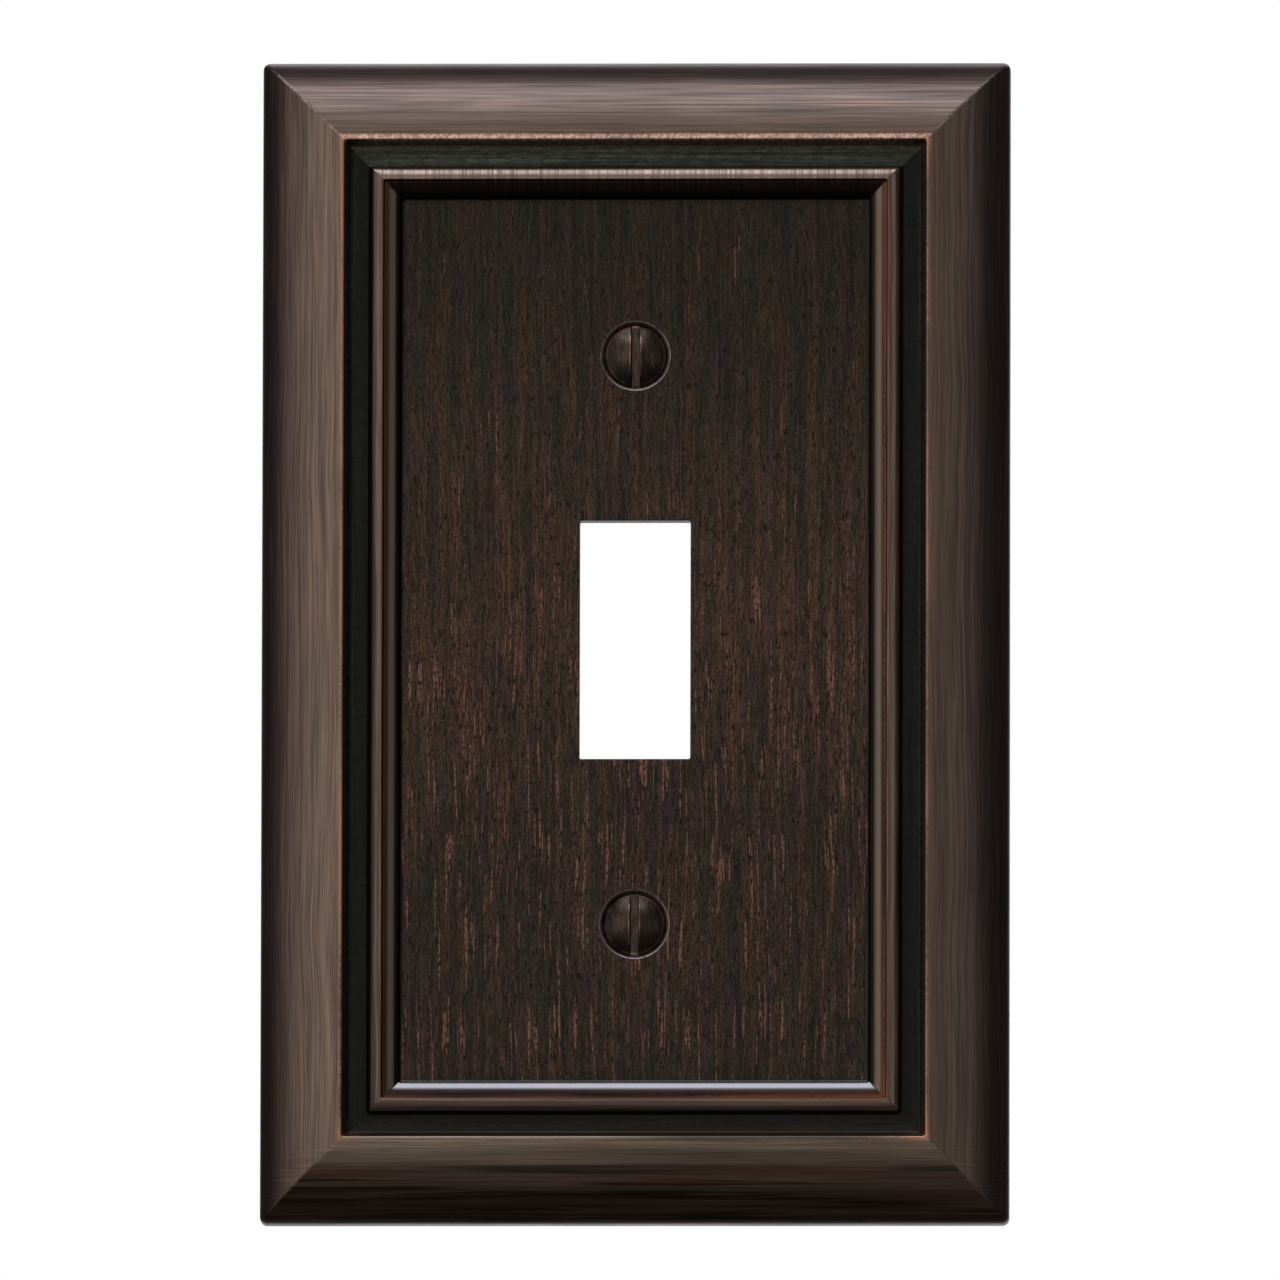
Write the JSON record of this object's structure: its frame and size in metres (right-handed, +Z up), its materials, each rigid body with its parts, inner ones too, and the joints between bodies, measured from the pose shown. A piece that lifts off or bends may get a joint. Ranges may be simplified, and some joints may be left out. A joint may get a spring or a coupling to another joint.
{
  "type": "toggle switch wall plate",
  "caption": "Rectangular single-toggle wall plate with a convex outer band, a recessed channel, a stepped bead and a flat centre panel, held by oval-head screws.",
  "frame": {"origin": "middle of the plate on the wall plane, midway between the two screws", "axes": "+Y goes into the wall, so the front faces -Y; +Z is up; X is the width"},
  "size_m": [0.079, 0.0186, 0.1234],
  "materials": {
    "aged_bronze": "satin",
    "screw_bronze": "satin"
  },
  "bodies": {
    "plate": {"cover_plate": "aged_bronze"},
    "upper_screw": {"upper_screw": "screw_bronze"},
    "lower_screw": {"lower_screw": "screw_bronze"}
  },
  "joints": [
    {"name": "upper_screw_out", "type": "slide", "parent": "plate", "child": "upper_screw", "axis": [0, -1, 0], "range_m": [0, 0.022]},
    {"name": "lower_screw_out", "type": "slide", "parent": "plate", "child": "lower_screw", "axis": [0, -1, 0], "range_m": [0, 0.022]}
  ]
}
